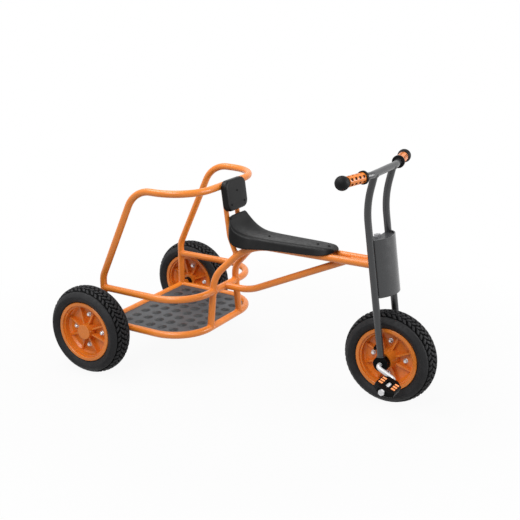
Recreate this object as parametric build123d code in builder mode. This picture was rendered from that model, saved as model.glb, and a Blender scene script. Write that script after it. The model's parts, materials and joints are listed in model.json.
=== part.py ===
from build123d import *
import os
from math import atan2, cos, degrees, radians, sin, sqrt, tan

# Kindergarten taxi tricycle: one pedalled front wheel, a rider's saddle and a standing platform
# for a passenger between the rear wheels. Millimetres, +X forwards, +Y to the rider's left, +Z up,
# origin on the floor half way between the axles.

# Wheels, all three alike
wheel_radius = 130.0
wheelbase = 822.0
track = 522.0
tyre_width = 81.0
tyre_shoulder = 24.0
tyre_depth = 42.0
sidewall_bulge = 2.6
rim_well_depth = 8.0
rim_width = 64.0
rim_lip_thickness = 4.0
rim_lip_edge = 1.2
rim_step_depth = 6.0
rim_step_width = 10.0
rim_wall = 7.0
web_thickness = 9.0
web_fillet_width = 6.0
rib_count = 8
rib_thickness = 5.0
rib_hub_height = 15.0
rib_rim_height = 6.0
hub_radius = 22.0
front_boss_radius = 30.0
hub_cap_thickness = 3.0
bush_wall = 8.0
bush_length = 12.0

# Fits and seats
weld_gap = 0.15
seat_gap = 0.25
run_clearance = 0.05
moving_clearance = 5.0

# Frame tubes
frame_tube = 20.0
post_tube = 14.0
wheel_gap = 16.5
platform_length = 294.0
platform_corner_share = 0.375
plate_thickness = 4.0
upper_rail_height = 237.0
hoop_height = 543.0
hoop_overhang = 13.0
hoop_knee_rise = 34.0
hoop_lean = 25.0
hoop_knee_bend = 60.0
hoop_shoulder_share = 0.277
leg_spread_foot = 154.0
leg_spread_rail = 122.0
main_spread = 50.0
main_head_spread = 42.0
main_height = 384.0
main_rise = 46.0
main_knee_share = 0.3
main_lower_bend_share = 0.54
main_upper_bend_share = 1.09
down_tube_flat = 86.0
down_tube_setback = 81.0
down_tube_bend = 150.0
gusset_length = 66.0
gusset_thickness = 6.0

# Head and steering
rake = 8.0
steer_setback = 5.0
head_radius = 20.0
head_bore_radius = 13.0
head_over_tyre = 6.0
cup_height = 5.0
cup_radius = 23.0
crown_thickness = 8.0
crown_back = 8.0
crown_boss_radius = 18.0
steer_pin_radius = 6.0
pin_nut_radius = 10.0
pin_nut_height = 8.0

# Fork and handlebar
fork_tube = 19.0
fork_gap = 8.5
fork_top_rise = 84.0
fork_top_lean = 13.1
fork_bend = 250.0
bar_height = 636.0
bar_straight = 150.0
bar_end_run = 118.5
bar_sweep = 25.0
bar_bend = 60.0
housing_radius = 21.0
housing_edge = 1.5
shield_overlap = 37.0
shield_inset = 2.0
shield_bend = 74.0
shield_thickness = 2.5

# Grips
ball_radius = 18.5
grip_length = 87.0
grip_core_wall = 2.2
grip_sleeve_wall = 2.0
grip_flange_rise = 3.5
grip_flange_width = 6.0
grip_sleeve_start = 17.0
grip_window_rows = 4
grip_window_round = 6
grip_window_length = 9.0
grip_window_width = 7.0

# Cranks and pedals
rod_radius = 6.0
crank_length = 56.0
crank_angle = -26.6
crank_bend = 11.0
crank_offset = 17.0
pedal_tilt = 20.0
pedal_length = 72.0
pedal_width = 57.0
pedal_end_width = 28.0
pedal_flat = 44.0
pedal_height = 18.0
pedal_edge = 2.5
pedal_window_length = 28.0
pedal_window_width = 16.0
pedal_bar_rows = 3
pedal_bar_pitch = 13.0
pedal_bar_length = 11.0
pedal_bar_width = 7.0
pedal_bar_proud = 1.5
spindle_cap_radius = 8.5
spindle_cap_length = 6.0

# Saddle and backrest
saddle_bracket_width = 30.0
saddle_bracket_thickness = 4.0
saddle_bracket_front_share = 0.7
saddle_bracket_rear_share = 0.42
saddle_tail_gap = 9.6
saddle_nose_gap = 128.0
saddle_channel_side = 2.0
saddle_channel_run = 28.0
post_foot_share = 0.75
post_knee_rise = 14.0
post_spread = 56.0
post_bend = 40.0
pad_width = 106.0
pad_height = 88.0
pad_thickness = 20.0
pad_corner = 22.0
pad_edge = 6.0
pad_drop = 27.4
pad_gap = 8.0
pad_lean = 8.0

SIDES = (("right", -1), ("left", 1))
os.makedirs("parts", exist_ok=True)

# Places that follow from the sizes
axle_height = wheel_radius
tyre_widest_radius = wheel_radius - tyre_shoulder
rim_lip_radius = wheel_radius - tyre_depth
rim_well_radius = rim_lip_radius - rim_well_depth
rear_x = -wheelbase / 2
front_x = wheelbase / 2
tube_r = frame_tube / 2
fork_r = fork_tube / 2
rail_front_x = rear_x + platform_length
platform_width = track - tyre_width - frame_tube - 2 * wheel_gap
platform_corner = platform_corner_share * platform_length
rail_side_y = platform_width / 2
hoop_reach = platform_length + hoop_overhang
hoop_front_x = rear_x + hoop_reach
hoop_knee_height = upper_rail_height + hoop_knee_rise
hoop_shoulder_bend = hoop_shoulder_share * hoop_reach
main_climb = main_height - upper_rail_height
main_knee_height = upper_rail_height + main_knee_share * main_climb
head_length = main_height - 2 * wheel_radius - head_over_tyre
fork_spread = tyre_width + fork_tube + 2 * fork_gap
fork_bend_height = bar_height - fork_top_rise
rake_slope = tan(radians(rake))
steer_x = front_x - (main_height - axle_height) * rake_slope - steer_setback / cos(radians(rake))
steer_origin = Vector(steer_x, 0, main_height)
steer_up = Vector(-sin(radians(rake)), 0, cos(radians(rake)))
steer_ahead = Vector(cos(radians(rake)), 0, sin(radians(rake)))
front_axle = Vector(front_x, 0, axle_height)


def keep(piece, name):
    """Label a finished piece and write it as its own file."""
    piece.label = name
    export_step(piece, f"parts/{name}.step")


def bent_tube(route, bends, diameter):
    """Round bar along straight runs joined by tangent arcs."""
    with BuildPart() as tube:
        with BuildLine() as centre_line:
            if bends:
                FilletPolyline(*route, radius=bends)
            else:
                Line(*route)
        with BuildSketch(Plane(origin=centre_line.line @ 0, z_dir=centre_line.line % 0)):
            Circle(diameter / 2)
        sweep(path=centre_line.line)
    return tube.part


def radial_plane(centre, angle):
    """Plane through an axle: local x along +Y, local y away from the axle at an angle from +X."""
    turn = radians(angle)
    return Plane(origin=centre, x_dir=(0, 1, 0), z_dir=(sin(turn), 0, -cos(turn)))


def steer_plane(height, ahead=0.0):
    """Plane square to the steering axis, local x ahead and local y to the left."""
    origin = steer_origin + steer_up * height + steer_ahead * ahead
    return Plane(origin=origin, x_dir=steer_ahead, z_dir=steer_up)


# Wheel sections, as half widths from the wheel's middle plane
tyre_half = tyre_width / 2
rim_half = rim_width / 2
bead_half = rim_half - rim_lip_thickness
dish_radius = rim_well_radius - rim_wall
web_half = web_thickness / 2


def make_tyre(centre):
    """Fat pneumatic tyre seated between the rim lips."""
    seat_half = bead_half - weld_gap
    bead_radius = rim_well_radius + weld_gap
    lip_top = rim_lip_radius + weld_gap
    widest = (tyre_half, tyre_widest_radius)
    with BuildPart() as tyre:
        with BuildSketch(radial_plane(centre, 90)):
            with BuildLine():
                Line((-seat_half, bead_radius), (seat_half, bead_radius))
                Line((seat_half, bead_radius), (seat_half, lip_top))
                SagittaArc((seat_half, lip_top), widest, -sidewall_bulge)
                ThreePointArc(widest, (0, wheel_radius), (-tyre_half, tyre_widest_radius))
                SagittaArc((-tyre_half, tyre_widest_radius), (-seat_half, lip_top), -sidewall_bulge)
                Line((-seat_half, lip_top), (-seat_half, bead_radius))
            make_face()
        revolve(axis=Axis(centre, (0, 1, 0)))
    return tyre.part


def make_rim(centre, hub_half, boss_radius, bore_radius):
    """Two-sided dished rim: stepped lips, recessed web with radial ribs and a bored hub."""
    step_radius = rim_lip_radius - rim_step_width
    step_half = rim_half - rim_step_depth
    half_section = (
        (bead_half, rim_well_radius),
        (bead_half, rim_lip_radius),
        (rim_half - rim_lip_edge, rim_lip_radius),
        (rim_half, rim_lip_radius - rim_lip_edge),
        (rim_half, step_radius + rim_lip_edge),
        (rim_half - rim_lip_edge, step_radius),
        (step_half, step_radius),
        (step_half, dish_radius),
        (web_half + rib_rim_height, dish_radius),
        (web_half, dish_radius - web_fillet_width),
        (web_half, boss_radius),
        (hub_half, hub_radius),
        (hub_half, bore_radius),
    )
    with BuildPart() as rim:
        with BuildSketch(radial_plane(centre, 90)):
            with BuildLine():
                Polyline(*half_section, *[(-a, r) for a, r in reversed(half_section)], close=True)
            make_face()
        revolve(axis=Axis(centre, (0, 1, 0)))
        for number in range(rib_count):
            with BuildSketch(radial_plane(centre, 360 / rib_count * (number + 0.5))):
                with BuildLine():
                    Polyline(
                        (web_half + rib_hub_height, hub_radius),
                        (web_half + rib_rim_height, dish_radius + rim_wall / 2),
                        (-web_half - rib_rim_height, dish_radius + rim_wall / 2),
                        (-web_half - rib_hub_height, hub_radius),
                        close=True,
                    )
                make_face()
            extrude(amount=rib_thickness / 2, both=True)
    return rim.part


# Rear wheels on stub axles, with a bush inside and a flat cap outside each hub
rear_hub_half = rim_half - hub_cap_thickness
hub_inner_y = track / 2 - rear_hub_half
bush_radius = rod_radius + bush_wall
axle_tube_end = hub_inner_y - seat_gap - bush_length
stub_end = track / 2 + rear_hub_half - seat_gap

for side, sign in SIDES:
    centre = Vector(rear_x, sign * track / 2, axle_height)
    keep(make_tyre(centre), f"rear_tyre_{side}")
    keep(make_rim(centre, rear_hub_half, hub_radius, rod_radius + run_clearance), f"rear_rim_{side}")
    cap_face = centre + Vector(0, sign * rear_hub_half, 0)
    with BuildPart() as hub_cap:
        with BuildSketch(Plane(origin=cap_face, z_dir=(0, sign, 0))):
            Circle(hub_radius)
        extrude(amount=hub_cap_thickness)
        fillet(hub_cap.edges().sort_by(Axis.Y)[-1 if sign > 0 else 0], hub_cap_thickness / 3)
    keep(hub_cap.part, f"hub_cap_{side}")

with BuildPart() as stub_axles:
    for side, sign in SIDES:
        tube_face = Plane(origin=(rear_x, sign * axle_tube_end, axle_height), z_dir=(0, sign, 0))
        with BuildSketch(tube_face):
            Circle(rod_radius)
        extrude(amount=stub_end - axle_tube_end)
keep(stub_axles.part, "stub_axles")

with BuildPart() as axle_bushes:
    for side, sign in SIDES:
        tube_face = Plane(origin=(rear_x, sign * axle_tube_end, axle_height), z_dir=(0, sign, 0))
        with BuildSketch(tube_face):
            Circle(bush_radius)
            Circle(rod_radius + weld_gap, mode=Mode.SUBTRACT)
        extrude(amount=bush_length)
keep(axle_bushes.part, "axle_bushes")

# Rear axle tube, platform loop and tread plate
axle_route = ((rear_x, -axle_tube_end, axle_height), (rear_x, axle_tube_end, axle_height))
with BuildPart() as axle_tube:
    add(bent_tube(axle_route, None, frame_tube))
keep(axle_tube.part, "axle_tube")


def rail_route(height):
    """U of a rail in plan, open to the rear."""
    return (
        (rear_x, -rail_side_y, height),
        (rail_front_x, -rail_side_y, height),
        (rail_front_x, rail_side_y, height),
        (rear_x, rail_side_y, height),
    )


hoop_shoulder_x = rear_x + (hoop_height - hoop_knee_height) * tan(radians(hoop_lean))
hoop_route = (
    (rear_x, -rail_side_y, axle_height),
    (rear_x, -rail_side_y, hoop_knee_height),
    (hoop_shoulder_x, -rail_side_y, hoop_height),
    (hoop_front_x, -rail_side_y, hoop_height),
    (hoop_front_x, rail_side_y, hoop_height),
    (hoop_shoulder_x, rail_side_y, hoop_height),
    (rear_x, rail_side_y, hoop_knee_height),
    (rear_x, rail_side_y, axle_height),
)
hoop_bends = (
    hoop_knee_bend,
    hoop_shoulder_bend,
    platform_corner,
    platform_corner,
    hoop_shoulder_bend,
    hoop_knee_bend,
)
weld_tube = frame_tube + 2 * weld_gap

with BuildPart() as guard_hoop:
    add(bent_tube(hoop_route, hoop_bends, frame_tube))
    add(bent_tube(axle_route, None, weld_tube), mode=Mode.SUBTRACT)
keep(guard_hoop.part, "guard_hoop")

with BuildPart() as platform_rail:
    add(bent_tube(rail_route(axle_height), platform_corner, frame_tube))
    add(bent_tube(axle_route, None, weld_tube), mode=Mode.SUBTRACT)
    add(bent_tube(hoop_route, hoop_bends, weld_tube), mode=Mode.SUBTRACT)
keep(platform_rail.part, "platform_rail")

with BuildPart() as upper_rail:
    add(bent_tube(rail_route(upper_rail_height), platform_corner, frame_tube))
    add(bent_tube(hoop_route, hoop_bends, weld_tube), mode=Mode.SUBTRACT)
keep(upper_rail.part, "upper_rail")

plate_inset = tube_r + weld_gap
with BuildPart() as platform_plate:
    with BuildSketch(Plane.XY.offset(axle_height - plate_thickness / 2)) as plate_outline:
        with Locations(((rear_x + rail_front_x) / 2, 0)):
            Rectangle(platform_length - 2 * plate_inset, platform_width - 2 * plate_inset)
        front_corners = plate_outline.vertices().group_by(Axis.X)[-1]
        fillet(front_corners, platform_corner - plate_inset)
    extrude(amount=plate_thickness)
    add(bent_tube(hoop_route, hoop_bends, weld_tube), mode=Mode.SUBTRACT)
keep(platform_plate.part, "platform_plate")

# Posts from the platform to the upper rail, and the twin main tubes that run on to the head
leg_slope = (leg_spread_foot - leg_spread_rail) / 2 / (upper_rail_height - axle_height)
main_knee_y = leg_spread_rail / 2 - leg_slope * (main_knee_height - upper_rail_height)
main_knee_x = rail_front_x + (main_height - main_knee_height) / tan(radians(main_rise))
main_bends = (main_lower_bend_share * main_climb, main_upper_bend_share * main_climb)


def main_route(sign):
    """Centre line of one main tube, from the upper rail to the head."""
    return (
        (rail_front_x, sign * leg_spread_rail / 2, upper_rail_height),
        (rail_front_x, sign * main_knee_y, main_knee_height),
        (main_knee_x, sign * main_spread / 2, main_height),
        (steer_x, sign * main_head_spread / 2, main_height),
    )


head_low = steer_origin - steer_up * (head_length / 2)
head_high = steer_origin + steer_up * (head_length / 2)

with BuildPart() as rail_posts:
    for side, sign in SIDES:
        post_route = (
            (rail_front_x, sign * leg_spread_foot / 2, axle_height),
            (rail_front_x, sign * leg_spread_rail / 2, upper_rail_height),
        )
        add(bent_tube(post_route, None, frame_tube))
    add(bent_tube(rail_route(axle_height), platform_corner, weld_tube), mode=Mode.SUBTRACT)
    add(bent_tube(rail_route(upper_rail_height), platform_corner, weld_tube), mode=Mode.SUBTRACT)
keep(rail_posts.part, "rail_posts")

for side, sign in SIDES:
    with BuildPart() as main_tube:
        add(bent_tube(main_route(sign), main_bends, frame_tube))
        add(bent_tube(rail_route(upper_rail_height), platform_corner, weld_tube), mode=Mode.SUBTRACT)
        add(bent_tube((head_low, head_high), None, 2 * (head_radius + weld_gap)), mode=Mode.SUBTRACT)
    keep(main_tube.part, f"main_tube_{side}")

# Head gusset between the main tubes, and the down tube welded under it
gusset_end_x = steer_x - head_radius
gusset_start_x = gusset_end_x - gusset_length
with BuildPart() as head_gusset:
    with BuildSketch(Plane.XY.offset(main_height - gusset_thickness / 2)):
        with Locations(((gusset_start_x + steer_x) / 2, 0)):
            Rectangle(steer_x - gusset_start_x, main_spread)
    extrude(amount=gusset_thickness)
    for side, sign in SIDES:
        add(bent_tube(main_route(sign), main_bends, weld_tube), mode=Mode.SUBTRACT)
    add(bent_tube((head_low, head_high), None, 2 * (head_radius + weld_gap)), mode=Mode.SUBTRACT)
    gusset_solid = head_gusset.solids().sort_by(SortBy.VOLUME)[-1]
head_gusset_part = Part() + gusset_solid
keep(head_gusset_part, "head_gusset")

down_route = (
    (rail_front_x, 0, upper_rail_height),
    (rail_front_x + down_tube_flat, 0, upper_rail_height),
    (steer_x - down_tube_setback, 0, main_height),
)
with BuildPart() as down_tube:
    add(bent_tube(down_route, down_tube_bend, frame_tube))
    add(bent_tube(rail_route(upper_rail_height), platform_corner, weld_tube), mode=Mode.SUBTRACT)
    split(bisect_by=Plane.XY.offset(main_height - gusset_thickness / 2 - weld_gap), keep=Keep.BOTTOM)
keep(down_tube.part, "down_tube")

# Head tube with a bearing cup at each end
with BuildPart() as head_tube:
    with BuildSketch(steer_plane(-head_length / 2)):
        Circle(head_radius)
        Circle(head_bore_radius, mode=Mode.SUBTRACT)
    extrude(amount=head_length)
keep(head_tube.part, "head_tube")

with BuildPart() as head_cups:
    for start in (-head_length / 2 - cup_height, head_length / 2):
        with BuildSketch(steer_plane(start)):
            Circle(cup_radius)
            Circle(steer_pin_radius + run_clearance, mode=Mode.SUBTRACT)
        extrude(amount=cup_height)
keep(head_cups.part, "head_cups")

# Crown plates between the fork tubes, above and below the head, that carry the curved shield
crown_start = head_length / 2 + cup_height + seat_gap
shield_half = fork_spread / 2 - shield_inset
shield_inner = shield_bend - shield_thickness
shield_edge_lead = sqrt((fork_r + seat_gap) ** 2 - shield_inset**2)
shield_middle = shield_edge_lead - sqrt(shield_inner**2 - shield_half**2)


def fork_route(sign):
    """Centre line of one fork tube, from the axle bearing to the handlebar."""
    bend_x = front_x - (fork_bend_height - axle_height) * rake_slope
    top_x = bend_x + (bar_height - fork_bend_height) * tan(radians(fork_top_lean))
    return (
        (front_x, sign * fork_spread / 2, axle_height),
        (bend_x, sign * fork_spread / 2, fork_bend_height),
        (top_x, sign * fork_spread / 2, bar_height),
    )


bar_x = fork_route(1)[2][0]
weld_fork = fork_tube + 2 * weld_gap

for name, start in (("lower_crown", -crown_start - crown_thickness), ("upper_crown", crown_start)):
    with BuildPart() as crown:
        with BuildSketch(steer_plane(start, steer_setback)):
            with Locations((shield_middle, 0)):
                Circle(shield_inner - seat_gap)
            with Locations((shield_bend - crown_back, 0)):
                Rectangle(2 * shield_bend, fork_spread, mode=Mode.INTERSECT)
            with Locations((-steer_setback, 0)):
                Circle(crown_boss_radius)
                Circle(steer_pin_radius + weld_gap, mode=Mode.SUBTRACT)
        extrude(amount=crown_thickness)
        for side, sign in SIDES:
            add(bent_tube(fork_route(sign), fork_bend, weld_fork), mode=Mode.SUBTRACT)
        body = crown.solids().sort_by(SortBy.VOLUME)[-1]
    keep(Part() + body, name)

with BuildPart() as steering_pin:
    pin_half = crown_start + crown_thickness
    with BuildSketch(steer_plane(-pin_half - pin_nut_height)):
        RegularPolygon(pin_nut_radius, 6)
    extrude(amount=pin_nut_height)
    with BuildSketch(steer_plane(-pin_half)):
        Circle(steer_pin_radius)
    extrude(amount=2 * pin_half)
    with BuildSketch(steer_plane(pin_half)):
        RegularPolygon(pin_nut_radius, 6)
    extrude(amount=pin_nut_height)
keep(steering_pin.part, "steering_pin")

# Curved shield in front of the head and the fork tubes, standing on the crowns
shield_height = head_length + shield_overlap
with BuildPart() as shield:
    with BuildSketch(steer_plane(-shield_height / 2, steer_setback)):
        with Locations((shield_middle, 0)):
            Circle(shield_bend)
            Circle(shield_inner, mode=Mode.SUBTRACT)
        with Locations((shield_bend, 0)):
            Rectangle(2 * shield_bend, 2 * shield_half, mode=Mode.INTERSECT)
    extrude(amount=shield_height)
keep(shield.part, "shield")

# Handlebar, and the fork tubes welded under it
bar_knee_y = bar_straight / 2
bar_end = Vector(bar_x - bar_sweep, bar_knee_y + bar_end_run, bar_height)
bar_route = (
    (bar_end.X, -bar_end.Y, bar_height),
    (bar_x, -bar_knee_y, bar_height),
    (bar_x, bar_knee_y, bar_height),
    (bar_end.X, bar_end.Y, bar_height),
)
with BuildPart() as handlebar:
    add(bent_tube(bar_route, bar_bend, fork_tube))
keep(handlebar.part, "handlebar")

housing_inner_y = fork_spread / 2 - fork_r
for side, sign in SIDES:
    housing_route = (
        (front_x, sign * housing_inner_y, axle_height),
        (front_x, sign * (housing_inner_y + fork_tube), axle_height),
    )
    with BuildPart() as fork_leg:
        add(bent_tube(fork_route(sign), fork_bend, fork_tube))
        add(bent_tube(housing_route, None, 2 * (housing_radius + weld_gap)), mode=Mode.SUBTRACT)
        add(bent_tube(bar_route, bar_bend, weld_fork), mode=Mode.SUBTRACT)
    keep(fork_leg.part, f"fork_tube_{side}")
    with BuildPart() as housing:
        with BuildSketch(Plane(origin=housing_route[0], z_dir=(0, sign, 0))):
            Circle(housing_radius)
            Circle(rod_radius + run_clearance, mode=Mode.SUBTRACT)
        extrude(amount=fork_tube)
        outer_face = housing.faces().sort_by(Axis.Y)[-1 if sign > 0 else 0]
        chamfer(outer_face.outer_wire().edges(), housing_edge)
    keep(housing.part, f"bearing_housing_{side}")

# Grips with a ball end, and their sleeves with rows of windows
grip_core_radius = fork_r + grip_core_wall
grip_sleeve_radius = grip_core_radius + grip_sleeve_wall
grip_flange_radius = grip_sleeve_radius + grip_flange_rise
core_start = sqrt(ball_radius**2 - grip_core_radius**2)
ball_opening = degrees(atan2(grip_core_radius, core_start))
flange_start = grip_length - grip_flange_width
sleeve_end = flange_start - weld_gap
window_pitch = (sleeve_end - grip_sleeve_start) / grip_window_rows
for side, sign in SIDES:
    end = Vector(bar_end.X, sign * bar_end.Y, bar_height)
    knee = Vector(bar_x, sign * bar_knee_y, bar_height)
    along = (knee - end).normalized()
    grip_plane = Plane(origin=end, x_dir=along, z_dir=(0, 0, 1))
    grip_axis = Axis(end, along)
    with BuildPart() as grip:
        with BuildSketch(grip_plane):
            with BuildLine():
                Polyline(
                    (-ball_radius, 0),
                    (0, 0),
                    (0, fork_r + weld_gap),
                    (grip_length, fork_r + weld_gap),
                    (grip_length, grip_flange_radius),
                    (flange_start, grip_flange_radius),
                    (flange_start, grip_core_radius),
                    (core_start, grip_core_radius),
                )
                CenterArc((0, 0), ball_radius, ball_opening, 180 - ball_opening)
            make_face()
        revolve(axis=grip_axis)
    keep(grip.part, f"grip_{side}")
    with BuildPart() as sleeve:
        with BuildSketch(grip_plane):
            with BuildLine():
                Polyline(
                    (grip_sleeve_start, grip_core_radius + weld_gap),
                    (sleeve_end, grip_core_radius + weld_gap),
                    (sleeve_end, grip_sleeve_radius),
                    (grip_sleeve_start, grip_sleeve_radius),
                    close=True,
                )
            make_face()
        revolve(axis=grip_axis)
        window_middle = end + along * (grip_sleeve_start + sleeve_end) / 2
        for number in range(grip_window_round // 2):
            turn = radians(360 / grip_window_round * number)
            outwards = Vector(0, 0, cos(turn)) + Vector(0, 0, 1).cross(along) * sin(turn)
            with BuildSketch(Plane(origin=window_middle, x_dir=along, z_dir=outwards)):
                with GridLocations(window_pitch, 0, grip_window_rows, 1):
                    Rectangle(grip_window_length, grip_window_width)
            extrude(amount=grip_flange_radius, both=True, mode=Mode.SUBTRACT)
    keep(sleeve.part, f"grip_sleeve_{side}")

# Front wheel on its driven axle, between the fork's bearings
front_hub_half = housing_inner_y - moving_clearance
keep(make_tyre(front_axle), "front_tyre")
keep(make_rim(front_axle, front_hub_half, front_boss_radius, rod_radius + weld_gap), "front_rim")

crank_start_y = housing_inner_y + fork_tube + run_clearance
rod_route = ((front_x, -crank_start_y, axle_height), (front_x, crank_start_y, axle_height))
with BuildPart() as axle_rod:
    add(bent_tube(rod_route, None, 2 * rod_radius))
keep(axle_rod.part, "front_axle")

# Bent cranks, half a turn apart, with a hexagonal pedal on each spindle
arm_y = crank_start_y + crank_offset
pedal_inner_y = arm_y + crank_bend + seat_gap
pedal_outer_y = pedal_inner_y + pedal_length
pedal_ahead = Vector(cos(radians(pedal_tilt)), 0, -sin(radians(pedal_tilt)))
pedal_up = Vector(sin(radians(pedal_tilt)), 0, cos(radians(pedal_tilt)))
pedal_quarter = ((pedal_end_width / 2, pedal_length / 2), (pedal_width / 2, pedal_flat / 2))
bar_offset = pedal_window_width / 2 + (pedal_width - pedal_window_width) / 4
for side, sign in SIDES:
    turn = radians(crank_angle if sign < 0 else crank_angle + 180)
    spindle_x = front_x + crank_length * cos(turn)
    spindle_z = axle_height + crank_length * sin(turn)
    crank_route = (
        (front_x, sign * crank_start_y, axle_height),
        (front_x, sign * arm_y, axle_height),
        (spindle_x, sign * arm_y, spindle_z),
        (spindle_x, sign * (pedal_outer_y + seat_gap), spindle_z),
    )
    with BuildPart() as crank:
        add(bent_tube(crank_route, crank_bend, 2 * rod_radius))
        with BuildSketch(Plane(origin=crank_route[3], z_dir=(0, sign, 0))):
            RegularPolygon(spindle_cap_radius, 6)
        extrude(amount=spindle_cap_length)
    keep(crank.part, f"crank_{side}")

    pedal_middle = Vector(spindle_x, sign * (pedal_inner_y + pedal_outer_y) / 2, spindle_z)
    with BuildPart() as pedal:
        with BuildSketch(Plane(origin=pedal_middle, x_dir=pedal_ahead, z_dir=pedal_up)):
            with BuildLine():
                Polyline(
                    *pedal_quarter,
                    *[(u, -v) for u, v in reversed(pedal_quarter)],
                    *[(-u, -v) for u, v in pedal_quarter],
                    *[(-u, v) for u, v in reversed(pedal_quarter)],
                    close=True,
                )
            make_face()
        extrude(amount=pedal_height / 2, both=True)
        pedal_faces = pedal.faces().filter_by(Plane(origin=pedal_middle, z_dir=pedal_up))
        chamfer(pedal_faces.edges(), pedal_edge)
        with BuildSketch(Plane(origin=pedal_middle, x_dir=pedal_ahead, z_dir=pedal_up)):
            Rectangle(pedal_window_width, pedal_window_length)
        extrude(amount=pedal_height, both=True, mode=Mode.SUBTRACT)
        with BuildSketch(Plane(origin=pedal_middle, x_dir=pedal_ahead, z_dir=(0, 1, 0))):
            Circle(rod_radius + run_clearance)
        extrude(amount=pedal_length, both=True, mode=Mode.SUBTRACT)
    keep(pedal.part, f"pedal_{side}")

    with BuildPart() as pedal_bars:
        for up in (-1, 1):
            face = pedal_middle + pedal_up * (up * pedal_height / 2)
            with BuildSketch(Plane(origin=face, x_dir=pedal_ahead, z_dir=pedal_up * up)):
                with GridLocations(2 * bar_offset, pedal_bar_pitch, 2, pedal_bar_rows):
                    Rectangle(pedal_bar_length, pedal_bar_width)
            extrude(amount=pedal_bar_proud)
    keep(pedal_bars.part, f"pedal_bars_{side}")

# The backrest posts lean from the hoop's front down to a knee just behind the saddle
lean_slope = tan(radians(pad_lean))
post_ahead = (tube_r - post_tube / 2) / cos(radians(pad_lean))
post_knee_height = main_height + post_knee_rise
post_knee_x = hoop_front_x + post_ahead + (hoop_height - post_knee_height) * lean_slope

# Saddle brackets across the main tubes
tube_top = main_height + tube_r
bracket_top = tube_top + weld_gap + saddle_bracket_thickness
saddle_tail_x = post_knee_x + saddle_tail_gap
saddle_length = steer_x - saddle_nose_gap - saddle_tail_x
with BuildPart() as saddle_brackets:
    with BuildSketch(Plane.XY.offset(tube_top + weld_gap)):
        for share in (saddle_bracket_rear_share, saddle_bracket_front_share):
            with Locations((saddle_tail_x + share * saddle_length, 0)):
                Rectangle(saddle_bracket_width, main_spread)
    extrude(amount=saddle_bracket_thickness)
keep(saddle_brackets.part, "saddle_brackets")

# Saddle: crowned shell, lofted through sections square to X, straddling the main tubes
# Columns: share of the length from the tail, half width at the top, half width at the skirt,
# height of the top and of the skirt's edge over the main tubes, roll of the top's edge
saddle_sections = (
    (0.0, 42.0, 44.0, 78.0, 56.0, 6.0),
    (0.032, 54.0, 60.0, 59.0, 17.0, 8.0),
    (0.07, 58.0, 63.0, 46.5, 4.0, 9.0),
    (0.145, 53.0, 62.0, 35.0, -3.5, 9.0),
    (0.24, 45.0, 58.5, 28.5, -3.0, 9.0),
    (0.36, 42.0, 54.0, 26.6, 0.0, 8.5),
    (0.5, 39.6, 50.2, 26.2, 2.0, 8.0),
    (0.64, 37.4, 47.2, 26.0, 3.2, 8.0),
    (0.78, 35.0, 44.2, 26.0, 4.0, 8.0),
    (0.89, 31.0, 40.0, 25.7, 6.0, 7.5),
    (0.96, 24.5, 32.0, 24.5, 10.0, 6.0),
    (1.0, 14.0, 18.0, 21.0, 13.0, 3.0),
)
saddle_tail_top = main_height + saddle_sections[0][3]
channel_half = main_spread / 2 + tube_r + saddle_channel_side
channel_top = bracket_top + seat_gap
with BuildPart() as saddle:
    for share, top_half, skirt_half, top_rise, skirt_rise, edge_roll in saddle_sections:
        section_origin = (saddle_tail_x + share * saddle_length, 0, main_height)
        with BuildSketch(Plane(origin=section_origin, x_dir=(0, 1, 0), z_dir=(1, 0, 0))) as section:
            Polygon(
                (-skirt_half, skirt_rise),
                (skirt_half, skirt_rise),
                (top_half, top_rise),
                (-top_half, top_rise),
                align=None,
            )
            fillet(section.vertices().group_by(Axis.Y)[-1], edge_roll)
    loft()
    channel_start = main_knee_x - saddle_channel_run
    channel_end = saddle_tail_x + saddle_length + tube_r
    with BuildSketch(Plane.XY.offset(channel_top)):
        with Locations(((channel_start + channel_end) / 2, 0)):
            Rectangle(channel_end - channel_start, 2 * channel_half)
    extrude(amount=-2 * frame_tube, mode=Mode.SUBTRACT)
keep(saddle.part, "saddle")

# Backrest posts from the main tubes up to the hoop, and the pad in front of both.
# The pad hangs from the hoop's height and clears the saddle's tail; the posts reach its middle.
pad_lift = pad_height / 2 * cos(radians(pad_lean))
pad_middle_z = max(hoop_height - pad_drop, saddle_tail_top + pad_gap + pad_lift)
post_top = max(hoop_height, pad_middle_z)
post_top_x = post_knee_x - (post_top - post_knee_height) * lean_slope
post_foot_z = upper_rail_height + post_foot_share * main_climb
post_foot_run = (post_foot_z - main_knee_height) / (main_height - main_knee_height)
post_foot_x = rail_front_x + post_foot_run * (main_knee_x - rail_front_x)
post_foot_y = main_knee_y + post_foot_run * (main_spread / 2 - main_knee_y)


def backrest_route(sign):
    """Centre line of one backrest post, from the main tube's rise to the hoop."""
    return (
        (post_foot_x, sign * post_foot_y, post_foot_z),
        (post_knee_x, sign * post_spread / 2, post_knee_height),
        (post_top_x, sign * post_spread / 2, post_top),
    )


with BuildPart() as backrest_posts:
    for side, sign in SIDES:
        add(bent_tube(backrest_route(sign), post_bend, post_tube))
    for side, sign in SIDES:
        add(bent_tube(main_route(sign), main_bends, weld_tube), mode=Mode.SUBTRACT)
    add(bent_tube(hoop_route, hoop_bends, weld_tube), mode=Mode.SUBTRACT)
keep(backrest_posts.part, "backrest_posts")

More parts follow.
